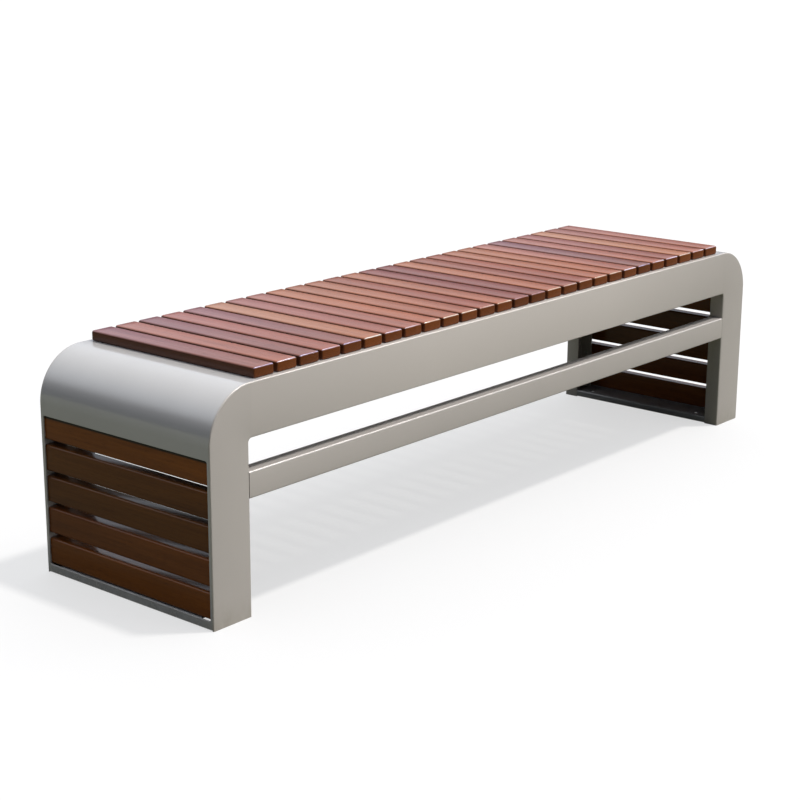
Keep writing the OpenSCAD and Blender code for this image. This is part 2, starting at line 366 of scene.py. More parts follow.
# %% The timber group
def timber_group():
    """Board colour from layers along Y: wide figure, fine streaks, fibre and pores. On faces that look
    along Y they give way to growth rings. Faces that don't look up are darkened as painted shade, the
    top goes paler and greyer towards the rear, the ends' roundings get a painted pale highlight, and
    Lip is the height under which a painted shade line starts. Coat is Film on the top, and falls to
    0.15 of it on sawn ends."""
    tree, given, out = new_group(
        "timber",
        [
            ("Vector", "NodeSocketVector", None),
            ("Facing", "NodeSocketVector", None),
            ("Pale", "NodeSocketColor", (0.5, 0.2, 0.1, 1)),
            ("Deep", "NodeSocketColor", (0.2, 0.06, 0.03, 1)),
            ("End", "NodeSocketColor", (0.25, 0.1, 0.04, 1)),
            ("Figure", "NodeSocketFloat", 0.6),
            ("Gloss", "NodeSocketFloat", 0.3),
            ("Side", "NodeSocketColor", (1, 1, 1, 1)),
            ("Lip", "NodeSocketFloat", 9.0),
            ("Rear pale", "NodeSocketFloat", 0.0),
            ("Rim highlight", "NodeSocketFloat", 0.0),
            ("Film", "NodeSocketFloat", 0.5),
        ],
        [("Color", "NodeSocketColor"), ("Roughness", "NodeSocketFloat"), ("Height", "NodeSocketFloat"),
         ("Coat", "NodeSocketFloat")],
    )
    vector = given.outputs["Vector"]
    figure = stretched(tree, vector, (26, 2.2, 26), detail=3, distortion=0.9)
    streak = stretched(tree, vector, (210, 7, 210), detail=4, roughness=0.6)
    fibre = stretched(tree, vector, (900, 26, 900), detail=2)
    pore = levels(tree, stretched(tree, vector, (1500, 45, 1500), detail=1), 0.63, 0.72)
    drift = stretched(tree, vector, (4, 1.6, 4), detail=1)
    tone = math_node(tree, "ADD", levels(tree, figure, 0.3, 0.7, 0, 0.55),
                     levels(tree, streak, 0.3, 0.72, 0, 0.45))
    tone = math_node(tree, "ADD", tone, levels(tree, drift, 0.3, 0.7, -0.18, 0.18))
    tone = math_node(tree, "MULTIPLY", tone, given.outputs["Figure"])
    along = mix_colour(tree, tone, given.outputs["Pale"], given.outputs["Deep"])
    along = mix_colour(tree, levels(tree, fibre, 0.2, 0.8, 0.0, 0.16), along, (0.05, 0.015, 0.008, 1))
    along = mix_colour(tree, math_node(tree, "MULTIPLY", pore, 0.45), along, (0.03, 0.01, 0.006, 1))
    rings = node(tree, "ShaderNodeTexWave", wave_type="RINGS", rings_direction="Y", Scale=95,
                 Distortion=2.5, Detail=2)
    rings.inputs["Detail Scale"].default_value = 30
    tree.links.new(vector, rings.inputs["Vector"])
    dots = levels(tree, stretched(tree, vector, (1400, 1400, 1400), detail=1), 0.55, 0.7)
    ring_share = levels(tree, rings.outputs["Fac"], 0, 1, 0.1, 0.62)
    sawn = mix_colour(tree, ring_share, given.outputs["End"], given.outputs["Deep"])
    sawn = mix_colour(tree, math_node(tree, "MULTIPLY", dots, 0.5), sawn, (0.03, 0.012, 0.006, 1))
    split = node(tree, "ShaderNodeSeparateXYZ")
    tree.links.new(given.outputs["Facing"], split.inputs[0])
    along_y = math_node(tree, "ABSOLUTE", split.outputs["Y"])
    is_end = levels(tree, along_y, 0.75, 0.9)
    whole = mix_colour(tree, is_end, along, sawn)
    # Painted shade: faces that don't look up are multiplied by a darker colour.
    up = levels(tree, split.outputs["Z"], 0.35, 0.9)
    side_shade = mix_colour(tree, up, given.outputs["Side"], (1.0, 1.0, 1.0, 1))
    whole = mix_colour(tree, 1.0, whole, side_shade, "MULTIPLY")
    place = node(tree, "ShaderNodeSeparateXYZ")
    tree.links.new(vector, place.inputs[0])
    # The top is mixed towards a paler grey-pink towards the rear, by the share given.
    to_rear = levels(tree, place.outputs["Y"], -0.2, 0.2)
    rear_pale = math_node(tree, "MULTIPLY", to_rear, given.outputs["Rear pale"])
    whole = mix_colour(tree, math_node(tree, "MULTIPLY", rear_pale, up), whole, (0.50, 0.40, 0.42, 1))
    # Painted highlight: the rounded rims of the board ends are mixed towards a pale lavender, in a ragged
    # band.
    rim = math_node(tree, "MULTIPLY", levels(tree, along_y, 0.2, 0.5),
                    levels(tree, split.outputs["Z"], 0.3, 0.6))
    rim = math_node(tree, "MULTIPLY", rim, levels(tree, figure, 0.3, 0.62, 0.25, 1))
    rim = math_node(tree, "MULTIPLY", rim, given.outputs["Rim highlight"])
    whole = mix_colour(tree, rim, whole, (0.62, 0.57, 0.63, 1))
    # Painted shade: a dark band is painted on the boards just under the window's top edge, where the lip
    # shades them.
    below = math_node(tree, "SUBTRACT", place.outputs["Z"], given.outputs["Lip"])
    dirt_and_shade = levels(tree, below, -0.0068, -0.0036, 0, 0.95)
    tree.links.new(mix_colour(tree, dirt_and_shade, whole, (0.006, 0.005, 0.005, 1)), out.inputs["Color"])
    gloss = math_node(tree, "ADD", given.outputs["Gloss"], levels(tree, streak, 0.3, 0.7, -0.05, 0.09))
    gloss = math_node(tree, "ADD", gloss, math_node(tree, "MULTIPLY", is_end, 0.16))
    gloss = math_node(tree, "ADD", gloss, math_node(tree, "MULTIPLY", pore, 0.2))
    tree.links.new(gloss, out.inputs["Roughness"])
    relief = math_node(tree, "ADD", math_node(tree, "MULTIPLY", streak, 0.5),
                       math_node(tree, "MULTIPLY", fibre, 0.35))
    relief = math_node(tree, "SUBTRACT", relief, math_node(tree, "MULTIPLY", pore, 0.5))
    tree.links.new(relief, out.inputs["Height"])
    bare = math_node(tree, "MAXIMUM", is_end, levels(tree, up, 0, 1, 0.5, 0))
    film = math_node(tree, "MULTIPLY", given.outputs["Film"], levels(tree, bare, 0, 1, 1, 0.15))
    tree.links.new(film, out.inputs["Coat"])
    return tree


TIMBER = timber_group()
print("timber group:", len(TIMBER.nodes), "nodes")


# %% The powder coat group
def powder_group():
    """Orange peel from fine noise, a slow change of gloss, dust that fades out with height, and painted
    light: paler paint near the bench's middle, by a share set per material."""
    tree, given, out = new_group(
        "powder coat",
        [
            ("Vector", "NodeSocketVector", None),
            ("Paint", "NodeSocketColor", (0.4, 0.4, 0.38, 1)),
            ("Dust", "NodeSocketColor", (0.3, 0.27, 0.22, 1)),
            ("Gloss", "NodeSocketFloat", 0.3),
            ("Dust height", "NodeSocketFloat", 0.06),
            ("Middle light", "NodeSocketFloat", 0.0),
        ],
        [("Color", "NodeSocketColor"), ("Roughness", "NodeSocketFloat"), ("Height", "NodeSocketFloat")],
    )
    vector = given.outputs["Vector"]
    peel = stretched(tree, vector, (1, 1, 1), detail=0, size=190)
    sag = stretched(tree, vector, (1, 0.15, 1), detail=1, size=11)
    fleck = stretched(tree, vector, (1, 1, 1), detail=1, size=2600)
    cloud = stretched(tree, vector, (1, 1, 1), detail=4, roughness=0.6, size=7)
    dirt_and_shade = stretched(tree, vector, (1, 1, 0.4), detail=5, roughness=0.7, size=38)
    split = node(tree, "ShaderNodeSeparateXYZ")
    tree.links.new(vector, split.inputs[0])
    rise = math_node(tree, "DIVIDE", split.outputs["Z"], given.outputs["Dust height"])
    low = math_node(tree, "SUBTRACT", 1.0, rise, True)
    dust = math_node(tree, "MULTIPLY", low, levels(tree, dirt_and_shade, 0.35, 0.75, 0.05, 0.7), True)
    cloudy = levels(tree, cloud, 0.3, 0.7, 0.0, 0.1)
    shade = mix_colour(tree, cloudy, given.outputs["Paint"], (0.3, 0.29, 0.27, 1))
    flecked = levels(tree, fleck, 0.5, 0.75, 0.0, 0.22)
    shade = mix_colour(tree, flecked, shade, (0.75, 0.74, 0.7, 1))
    # Painted light: paint near the bench's middle is made paler, as if more lit.
    middle = levels(tree, math_node(tree, "ABSOLUTE", split.outputs["X"]), 0.85, 0.3)
    middle_light = math_node(tree, "MULTIPLY", middle, given.outputs["Middle light"])
    shade = mix_colour(tree, middle_light, shade, (0.535, 0.495, 0.46, 1))
    tree.links.new(mix_colour(tree, dust, shade, given.outputs["Dust"]), out.inputs["Color"])
    rough = math_node(tree, "ADD", given.outputs["Gloss"], levels(tree, cloud, 0.3, 0.7, -0.03, 0.05))
    rough = math_node(tree, "ADD", rough, math_node(tree, "MULTIPLY", dust, 0.35))
    tree.links.new(rough, out.inputs["Roughness"])
    height = math_node(tree, "ADD", math_node(tree, "MULTIPLY", peel, 0.06), sag)
    tree.links.new(height, out.inputs["Height"])
    return tree


POWDER = powder_group()
print("powder coat group:", len(POWDER.nodes), "nodes")


# %% [markdown]
# ## Finishes: the materials
#
# Oiled hardwood has a thin clear film, so it gets a coat over a fairly rough base. Each board keeps
# its own tone and its own stretch of grain: two attributes on its mesh, "tone" and "seed", carry
# them, because boards cut from different logs never match. Powder coat on steel is a dielectric film
# with a little metal flake in it.

# %% Make the materials
def group_material(name, group, values, coat, coat_rough, metallic, bump, seeded=False, specular=0.5):
    """A Principled material whose colour, roughness and bump come from a group. If the group also
    gives a coat, coat is its film; otherwise coat is set on the shader."""
    material = bpy.data.materials.new(name)
    material.use_nodes = True
    tree = material.node_tree
    shader = tree.nodes["Principled BSDF"]
    shader.inputs["Coat Roughness"].default_value = coat_rough
    shader.inputs["Metallic"].default_value = metallic
    shader.inputs["Specular IOR Level"].default_value = specular
    place = node(tree, "ShaderNodeTexCoord", at=(-900, 0))
    effect = node(tree, "ShaderNodeGroup", at=(-400, 0), node_tree=group)
    for label, value in values.items():
        effect.inputs[label].default_value = value
    vector = place.outputs["Object"]
    if seeded:
        seed = node(tree, "ShaderNodeAttribute", at=(-900, -300), attribute_name="seed")
        shifted = node(tree, "ShaderNodeVectorMath", at=(-650, 0), operation="ADD")
        tree.links.new(vector, shifted.inputs[0])
        tree.links.new(seed.outputs["Vector"], shifted.inputs[1])
        vector = shifted.outputs[0]
        tree.links.new(place.outputs["Normal"], effect.inputs["Facing"])
        tone = node(tree, "ShaderNodeAttribute", at=(-900, -500), attribute_name="tone")
        tint = mix_colour(tree, 1.0, effect.outputs["Color"], tone.outputs["Color"], blend="MULTIPLY")
        tree.links.new(tint, shader.inputs["Base Color"])
    else:
        tree.links.new(effect.outputs["Color"], shader.inputs["Base Color"])
    tree.links.new(vector, effect.inputs["Vector"])
    tree.links.new(effect.outputs["Roughness"], shader.inputs["Roughness"])
    if "Coat" in effect.outputs:
        effect.inputs["Film"].default_value = coat
        tree.links.new(effect.outputs["Coat"], shader.inputs["Coat Weight"])
    else:
        shader.inputs["Coat Weight"].default_value = coat
    bump_node = node(tree, "ShaderNodeBump", at=(-200, -300), Strength=bump, Distance=0.0004)
    tree.links.new(effect.outputs["Height"], bump_node.inputs["Height"])
    tree.links.new(bump_node.outputs[0], shader.inputs["Normal"])
    return material


SEAT_WOOD = group_material(
    "seat hardwood", TIMBER,
    {"Pale": (0.29, 0.078, 0.028, 1), "Deep": (0.155, 0.034, 0.012, 1), "End": (0.42, 0.122, 0.030, 1),
     "Figure": 0.8, "Gloss": 0.45, "Side": (0.33, 0.32, 0.22, 1), "Rear pale": 0.10, "Rim highlight": 0.6},
    coat=0.62, coat_rough=0.11, metallic=0.0, bump=0.3, seeded=True, specular=0.14)
# Painted shade: the end boards get a darker copy of the seat's timber, because they hang upright in the
# shade.
END_WOOD = group_material(
    "end hardwood", TIMBER,
    {"Pale": (0.195, 0.058, 0.006, 1), "Deep": (0.085, 0.020, 0.002, 1), "End": (0.14, 0.055, 0.025, 1),
     "Figure": 0.75, "Gloss": 0.45},
    coat=0.6, coat_rough=0.15, metallic=0.0, bump=0.3, seeded=True, specular=0.1)
FRAME_PAINT = group_material(
    "frame powder coat", POWDER,
    {"Paint": (0.435, 0.402, 0.375, 1), "Gloss": 0.36, "Dust height": 0.05},
    coat=0.3, coat_rough=0.15, metallic=0.2, bump=0.2)
# The rails' copy of the frame paint, with the painted light near the middle switched on.
RAIL_PAINT = group_material(
    "rail powder coat", POWDER,
    {"Paint": (0.435, 0.402, 0.375, 1), "Gloss": 0.36, "Dust height": 0.05, "Middle light": 1.0},
    coat=0.3, coat_rough=0.15, metallic=0.2, bump=0.2)
SHELL_PAINT = group_material(
    "shell powder coat", POWDER,
    {"Paint": (0.51, 0.50, 0.497, 1), "Gloss": 0.16, "Dust height": 0.03},
    coat=0.15, coat_rough=0.05, metallic=0.25, bump=0.2, specular=0.25)
# Painted shade: the base bars carry the frame's paint, made darker here because they sit low in the shade.
BASE_PAINT_SHADED = group_material(
    "base powder coat", POWDER,
    {"Paint": (0.24, 0.24, 0.24, 1), "Gloss": 0.3, "Dust height": 0.012},
    coat=0.3, coat_rough=0.15, metallic=0.2, bump=0.2)
TUBE_PAINT = group_material(
    "tube powder coat", POWDER,
    {"Paint": (0.34, 0.33, 0.30, 1), "Gloss": 0.45, "Dust height": 0.02},
    coat=0.1, coat_rough=0.3, metallic=0.2, bump=0.2)
SCREW_STEEL = group_material(
    "stainless screws", POWDER,
    {"Paint": (0.55, 0.54, 0.52, 1), "Gloss": 0.28, "Dust height": 0.02},
    coat=0.0, coat_rough=0.1, metallic=1.0, bump=0.05)
# Lip places the end boards' painted shade line just under the window's top edge.
END_WOOD.node_tree.nodes["Group"].inputs["Lip"].default_value = WINDOW_TOP
print("materials:", [m.name for m in bpy.data.materials])


# %% [markdown]
# ## The seat slats
#
# Twenty-seven boards, 50 by 20 mm in section, planed and eased. They are not quite straight: a
# board that is a tenth of a millimetre out along its length throws a softer, livelier reflection
# than a perfect box. The tone attribute multiplies the timber's colour board by board; on a seat
# slat it turns, over the upper rounding, from a grey value on the sides to the board's own tone.

# %% Make the seat slats
def board(name, material, tone, side_tone, round_edge, ease):
    """One board from its CAD box. Three slow sine waves, of random phase, push its sides in by up to
    0.12 mm. Its tone turns from side_tone to tone over the rounding of its upper edges."""
    low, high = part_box(name)
    phase = RNG.uniform(0, 2 * math.pi, 3)

    def wave(a, b, along):
        """Push-in: a 50th of a millimetre times three plus three sines of the length."""
        sway = np.sin(along * 9 + phase[0]) + np.sin(along * 23 + phase[1]) + np.sin(along * 41 + phase[2])
        return 0.02 * MM * (3 + sway)

    points, faces = bar(low, high, 1, round_edge, ease, lengths=24, wave=wave)
    seed = np.tile(RNG.uniform(-3, 3, 3) * [1, 0, 0], (len(points), 1))
    top = np.clip((points[:, 2:] - high[2] + round_edge) / round_edge, 0, 1)
    marks = {"seed": seed, "tone": side_tone + (tone - side_tone) * top}
    return make_piece("board_" + name, [(points, faces)], material, [name], marks)


TONES = {
    "m": (0.84, 0.93, 1.46),  # mauve
    "r": (1.08, 1.06, 1.30),  # rose
    "s": (1.27, 1.31, 1.43),  # salmon
    "t": (1.30, 1.27, 0.87),  # tan
    "o": (1.50, 1.88, 1.60),  # orange
    "b": (1.06, 0.84, 0.60),  # brown
    "d": (0.78, 0.56, 0.59),  # dark
    "g": (0.84, 0.92, 0.90),  # olive
}
BOARDS = "msmrmorstttbtddtbbttsmsross"
seat_nodes = sorted(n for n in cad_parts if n.startswith("seat_slat_"))
for name, letter in zip(seat_nodes, BOARDS):
    tone = np.array(TONES[letter]) * RNG.uniform(0.95, 1.05)
    board(name, SEAT_WOOD, tone, 0.4 + 0.6 * tone[0] * np.ones(3), 4 * MM, 3 * MM)
print("seat slats:", len(seat_nodes))


# %% [markdown]
# ## The end slats
#
# Five boards close each end, behind the window of the shell. Their colour is a darker copy of the
# seat's timber, as painted shade, because they hang upright in the shade.

# %% Make the end slats
end_nodes = sorted(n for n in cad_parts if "_end_slat_" in n)
for name in end_nodes:
    tone = np.array(TONES["srggt"[int(name[-1]) - 1]]) * RNG.uniform(0.95, 1.05)
    board(name, END_WOOD, tone, tone, 4 * MM, 2 * MM)
print("end slats:", len(end_nodes))


# %% [markdown]
# ## The legs
#
# A leg is a channel folded from sheet. Seen from the front it has two edges: an outer one that runs
# up and round the big corner, and an inner one that runs up and turns into the opening's small
# corner. Both are paths with the same number of stations, so one section can be carried along the
# pair: round over the outer edge, flat across the face, fold round the inner edge, back along the
# flange, and home again inside the sheet.

# %% Build one leg as a pair of paths
def arc(centre, radius, angles):
    """Points on a circle: centre plus radius times (cosine, sine)."""
    return np.stack([centre[0] + radius * np.cos(angles), centre[1] + radius * np.sin(angles)], axis=-1)


def leg_surface():
    """Points of the leg in (x from the bench's end, y in from the face, z), as an array of stations.
    The outer arc is done one station early, and its last station is the end of the corner's flat."""
    turns = np.linspace(math.pi, math.pi / 2, 29)
    rise = np.linspace(0, 1, 5)[:-1, None]
    inner_bend = (LEG_W + OPENING_R, FRAME_H - RAIL_H - OPENING_R)
    outer_bend = (CORNER_R, FRAME_H - CORNER_R)
    outer_turns = turns[:-1] * (28 / 27) - math.pi / 27
    inner = np.concatenate([[LEG_W, 0] + rise * [0, inner_bend[1]], arc(inner_bend, OPENING_R, turns)])
    outer = np.concatenate([[0, 0] + rise * [0, outer_bend[1]],
                            arc(outer_bend, CORNER_R, outer_turns), [[CORNER_W, FRAME_H]]])
    inner_in = np.concatenate([np.tile([-1.0, 0.0], (4, 1)), arc((0, 0), 1, turns)])
    outer_in = np.concatenate([np.tile([1.0, 0.0], (4, 1)), -arc((0, 0), 1, outer_turns), [[0.0, -1.0]]])
    swing = quarter(5)
    lip = LIP_EASE
    u_out = np.concatenate([[0.0], FACE_EASE * (1 - np.cos(swing))])
    v_out = np.concatenate([[SHEET], FACE_EASE * (1 - np.sin(swing))])
    u_in = np.concatenate([FOLD_R * (1 - np.cos(swing[::-1])), lip * (1 - np.cos(swing)),
                           SHEET - lip * (1 - np.cos(swing[::-1])), [SHEET]])
    v_in = np.concatenate([FOLD_R * (1 - np.sin(swing[::-1])), FRAME_D - lip * (1 - np.sin(swing)),
                           FRAME_D - lip * (1 - np.sin(swing[::-1])), [SHEET]])
    left = outer[:, None, :] + outer_in[:, None, :] * u_out[None, :, None]
    right = inner[:, None, :] + inner_in[:, None, :] * u_in[None, :, None]
    flat = np.concatenate([left, right], axis=1)
    depth = np.broadcast_to(np.concatenate([v_out, v_in]), flat.shape[:2])
    return np.stack([flat[:, :, 0], depth, flat[:, :, 1]], axis=-1)


def to_side(points, right, rear):
    """From (x from the end, y in from the face, z) to the bench's own axes, for one of four corners."""
    x = (HALF_L - points[..., 0]) * (1 if right else -1)
    y = (HALF_W - points[..., 1]) * (1 if rear else -1)
    return np.stack([x, y, points[..., 2]], axis=-1)


slat_low, slat_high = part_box("left_end_slat_1")
FLANGE_X = HALF_L + slat_high[0]
STRIP_EASE = 0.6 * MM
for rear in (False, True):
    for right in (False, True):
        name = ("rear" if rear else "front") + ("_right_leg" if right else "_left_leg")
        channel = sweep(to_side(leg_surface(), right, rear))
        flange_top = (FLANGE_X + SHEET, FRAME_D, FRAME_H - CORNER_R)
        flange = bar((FLANGE_X, SHEET, 0), flange_top, 2, STRIP_EASE, STRIP_EASE, steps=3)
        foot = bar((FLANGE_X, SHEET, 0), (LEG_W - SHEET, FRAME_D, SHEET), 0, STRIP_EASE, 0, steps=3)
        parts = [channel] + [(to_side(points, right, rear), faces) for points, faces in (flange, foot)]
        make_piece("channel_" + name, parts, FRAME_PAINT, [name], smooth_angle=32)
print("leg stations:", leg_surface().shape)


# %% [markdown]
# ## The top rails
#
# A rail is the same sheet folded twice, so its section is a C. Its top flange carries the slats and
# stops where the shells' flats begin, so the rail is swept in three lengths: a middle with both
# flanges, and two ends with only the lower one.

# %% Build the rails
def rail_section(with_top):
    """The rail's section as (depth, height): eased top edge, face, fold, lower flange and back."""
    swing = quarter(5)
    lip = LIP_EASE
    top, bottom = FRAME_H, FRAME_H - RAIL_H
    back = swing[::-1]
    depth = [FACE_EASE * (1 - np.sin(swing)), FOLD_R * (1 - np.sin(back)),
             FRAME_D - lip * (1 - np.sin(swing)), FRAME_D - lip * (1 - np.sin(back)), [SHEET]]
    height = [top - FACE_EASE * (1 - np.cos(swing)), bottom + FOLD_R * (1 - np.cos(back)),
              bottom + lip * (1 - np.cos(swing)), bottom + SHEET - lip * (1 - np.cos(back)),
              [bottom + SHEET]]
    if with_top:
        depth += [[SHEET], FRAME_D - lip * (1 - np.sin(swing)), FRAME_D - lip * (1 - np.sin(back))]
        height += [[top - SHEET], top - SHEET + lip * (1 - np.cos(swing)), top - lip * (1 - np.cos(back))]
    else:
        depth += [[SHEET]]
        height += [[top]]
    return np.concatenate(depth), np.concatenate(height)


def rail_length(x0, x1, with_top, rear):
    """The section carried from x0 to x1, on the front or the rear face."""
    depth, height = rail_section(with_top)
    y = (HALF_W - depth) * (1 if rear else -1)
    rows = [np.stack([np.full(len(y), x), y, height], axis=-1) for x in np.linspace(x0, x1, 3)]
    return sweep(np.array(rows))


RAIL_X = HALF_L - CORNER_W
FLANGE_END = HALF_L - SHELL_END
for rear in (False, True):
    name = "rear_top_rail" if rear else "front_top_rail"
    parts = [rail_length(-RAIL_X, -FLANGE_END, False, rear),
             rail_length(-FLANGE_END, FLANGE_END, True, rear),
             rail_length(FLANGE_END, RAIL_X, False, rear)]
    make_piece("channel_" + name, parts, RAIL_PAINT, [name], smooth_angle=32)
print("rail length:", round(2 * RAIL_X, 3))


# %% [markdown]
# ## The stretchers
#
# A plain rectangular tube with round edges runs between the legs, flush with their faces. A weld
# fillet spreads it a little at both ends, above, below and behind, but not on the ground-flat face.

# %% Build the stretchers
def stretcher(rear):
    """A rounded section along X. At a distance d from an end, less than the weld's leg r, it grows by
    r minus the square root of r squared minus (r - d) squared, more the nearer a point is to the back."""
    low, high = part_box("rear_stretcher" if rear else "front_stretcher")
    weld, tube_r = 3 * MM, 3.5 * MM
    half_y, half_z = (high[1] - low[1]) / 2, (high[2] - low[2]) / 2
    depth, height = rounded_section(half_y, half_z, tube_r, steps=6)
    swing = quarter(5)
    start = low[0] + weld * (1 - np.cos(swing))
    grow = weld * (1 - np.sin(swing))
    x = np.concatenate([start, np.linspace(start[-1], -start[-1], 5)[1:-1], -start[::-1]])
    grow = np.concatenate([grow, np.zeros(3), grow[::-1]])[:, None]
    inward = -depth if rear else depth
    behind = np.clip(0.5 + 0.5 * inward / half_y, 0, 1)
    y = (low[1] + high[1]) / 2 + depth + (-1 if rear else 1) * grow * behind**8
    z = (low[2] + high[2]) / 2 + height + grow * behind * np.sign(height)
    points = np.stack([np.broadcast_to(x[:, None], y.shape), y, z], axis=-1)
    return sweep(points)


for rear in (False, True):
    name = "rear_stretcher" if rear else "front_stretcher"
    make_piece("tube_" + name, [stretcher(rear)], FRAME_PAINT, [name])
print("stretcher height:", round(tie_high[2] - tie_low[2], 4))


# %% [markdown]
# ## The end shells
#
# One sheet goes from under the first seat slat, round the corner and down to the floor. In the flat
# it is a plain rectangle with one window. The grid needs a few extra lines at the window's corners,
# so that the ring has points enough to draw their small radius.

# %% Roll the shells
SILL = slat_low[2] - 1.5 * MM
WINDOW_SIDE = HALF_W - 8 * MM
WINDOW_R = 4 * MM
WINDOW_MARGIN = 2 * MM


def lines_round(low, high, radius, margin):
    """Grid lines for one side of a hole: close together within its corners, wide apart between."""
    near = np.linspace(low - margin, low + radius, 6)
    far = np.linspace(high - radius, high + margin, 6)
    return np.concatenate([near, np.linspace(low + radius, high - radius, 9)[1:-1], far])


def roll_shell(right):
    """The flat sheet folded along the path floor - corner - flat. u is the length along the path."""
    bottom = shell_low[2]
    fold, steps = bent_path([(0, bottom), (0, FRAME_H), (SHELL_END, FRAME_H)], [CORNER_R], steps=40)
    side = 1 if right else -1

    def place(u, v, w):
        """The path's place at u, moved in along its normal by w, at v across."""
        at, normal = fold(u)
        inner = at + normal * w[:, None]
        return np.stack([side * (HALF_L - inner[:, 0]), v, inner[:, 1]], axis=-1)

    hole = ((SILL + WINDOW_TOP) / 2 - bottom, 0.0, (WINDOW_TOP - SILL) / 2, WINDOW_SIDE, WINDOW_R,
            WINDOW_MARGIN)
    up_lines = lines_round(SILL - bottom, WINDOW_TOP - bottom, WINDOW_R, WINDOW_MARGIN)
    across_lines = lines_round(-WINDOW_SIDE, WINDOW_SIDE, WINDOW_R, WINDOW_MARGIN)
    us = np.concatenate([steps, up_lines])
    vs = np.concatenate([[-HALF_W + SHEET, HALF_W - SHEET], across_lines])
    return holed_sheet(np.unique(us.round(7)), np.unique(vs.round(7)), [hole], place, SHEET)


for right in (False, True):
    name = "right_end_shell" if right else "left_end_shell"
    make_piece("rolled_" + name, [roll_shell(right)], SHELL_PAINT, [name], smooth_angle=32)
print("window:", round(2 * WINDOW_SIDE, 3), "by", round(WINDOW_TOP - SILL, 3))


# %% [markdown]
# ## The base bars
#
# A shallow channel, open below, with two holes for ground anchors. It is the same idea as the shell:
# a flat strip, two round holes, two folds.

# %% Fold the base bars
ANCHOR_D = 12 * MM
ANCHOR_EDGE = 20 * MM
ANCHOR_IN = 36 * MM
BASE_FOLD_R = 4 * MM


def fold_base(right):
    """The strip folded down - across - down, with the fold radius outside."""
    low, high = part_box("left_base_bar")
    x0, x1, z0, z1 = low[0] + HALF_L, high[0] + HALF_L, low[2], high[2]
    fold, steps = bent_path([(x0, z0), (x0, z1), (x1, z1), (x1, z0)], [BASE_FOLD_R] * 2, steps=6)
    side = 1 if right else -1

    def place(u, v, w):
        """The path's place at u, moved in along its normal by w, at v across."""
        at, normal = fold(u)
        inner = at + normal * w[:, None]
        return np.stack([side * (HALF_L - inner[:, 0]), v, inner[:, 1]], axis=-1)

    across = np.interp(x1 - ANCHOR_EDGE, [x0 + BASE_FOLD_R, x1 - BASE_FOLD_R], [steps[7], steps[8]])
    margin, r = 4 * MM, ANCHOR_D / 2
    holes = [(across, s * (high[1] - ANCHOR_IN), r, r, r, margin) for s in (-1, 1)]
    us = np.concatenate([steps, np.linspace(across - r - margin, across + r + margin, 9)])
    vs = [np.linspace(v - r - margin, v + r + margin, 9) for _, v, *_ in holes]
    vs = np.concatenate(vs + [[low[1], high[1]], np.linspace(-0.12, 0.12, 7)])
    return holed_sheet(np.unique(us.round(7)), np.unique(vs.round(7)), holes, place, SHEET)


for right in (False, True):
    name = "right_base_bar" if right else "left_base_bar"
    make_piece("folded_" + name, [fold_base(right)], BASE_PAINT_SHADED, [name])
print("anchor holes:", round(ANCHOR_D, 4))


# %% [markdown]
# ## The screws
#
# The boards are held by round-headed screws with a hexagon recess. A screw is a profile turned about
# its axis, and the recess is a six-sided well in the head, so the ring of points changes from a
# circle to a hexagon as the profile goes down into it.

# %% Turn the screws
def screw_profile():
    """(radius, height, share of hexagon) from the well's floor, up, over the head and down the shank."""
    head_r, head_h = 5 * MM, 2.5 * MM
    dome = quarter(4)
    radius = [0.01 * MM, 1.7 * MM, 1.7 * MM, 2.0 * MM] + list(2.6 * MM + (head_r - 2.6 * MM) * np.sin(dome))
    height = [-1.0 * MM, -1.0 * MM, -head_h + 0.2 * MM, -head_h]
    height += list(-head_h + 1.6 * MM * (1 - np.cos(dome)))
    radius += [head_r, 2.5 * MM, 2.5 * MM]
    height += [0.0, 0.0, 12 * MM]
    hexed = [1, 1, 1, 0.4] + [0] * (len(radius) - 4)
    return np.array(radius), np.array(height), np.array(hexed, dtype=float)


def screw(at, direction):
    """One screw whose shank points along direction, with the head's underside at a given place."""
    radius, height, hexed = screw_profile()
    turn = np.linspace(0, 2 * math.pi, 18, endpoint=False)
    hexagon = math.cos(math.pi / 6) / np.cos((turn + math.pi / 6) % (math.pi / 3) - math.pi / 6)
    scale = 1 + hexed[:, None] * (hexagon[None, :] - 1)
    reach = radius[:, None] * scale
    ring = np.stack([reach * np.cos(turn), reach * np.sin(turn)], axis=-1)
    points = np.concatenate([ring, np.broadcast_to(height[:, None, None], ring.shape[:2] + (1,))], axis=-1)
    spin = np.array(Vector((0, 0, 1)).rotation_difference(Vector(direction)).to_matrix())
    return sweep(points @ spin.T + np.array(at))


slat_setback = HALF_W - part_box("seat_slat_01")[1][1]
screw_y = HALF_W - (FRAME_D + slat_setback) / 2
seat_parts = []
for name in seat_nodes:
    low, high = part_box(name)
    x = (low[0] + high[0]) / 2
    seat_parts += [screw((x, s * screw_y, FRAME_H - SHEET), (0, 0, 1)) for s in (-1, 1)]
    seat_parts.append(screw((x, 0, FRAME_H - 2 * MM), (0, 0, 1)))
make_piece("screws_seat", seat_parts, SCREW_STEEL, ["seat_screws"])

end_parts = []
for name in end_nodes:
    low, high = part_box(name)
    side = 1 if name.startswith("right") else -1
    head_x = side * (HALF_L - FLANGE_X - SHEET)
    for s in (-1, 1):
        y = s * (HALF_W - (FRAME_D + SHEET) / 2)
        end_parts.append(screw((head_x, y, (low[2] + high[2]) / 2), (side, 0, 0)))
make_piece("screws_end", end_parts, SCREW_STEEL, ["end_screws"])
print("screws:", len(seat_parts) + len(end_parts))


# %% [markdown]
# ## The hidden tubes
#
# The two cross tubes and the middle bearer are right as the frame has them, so they keep their CAD
# meshes and only get their paint.

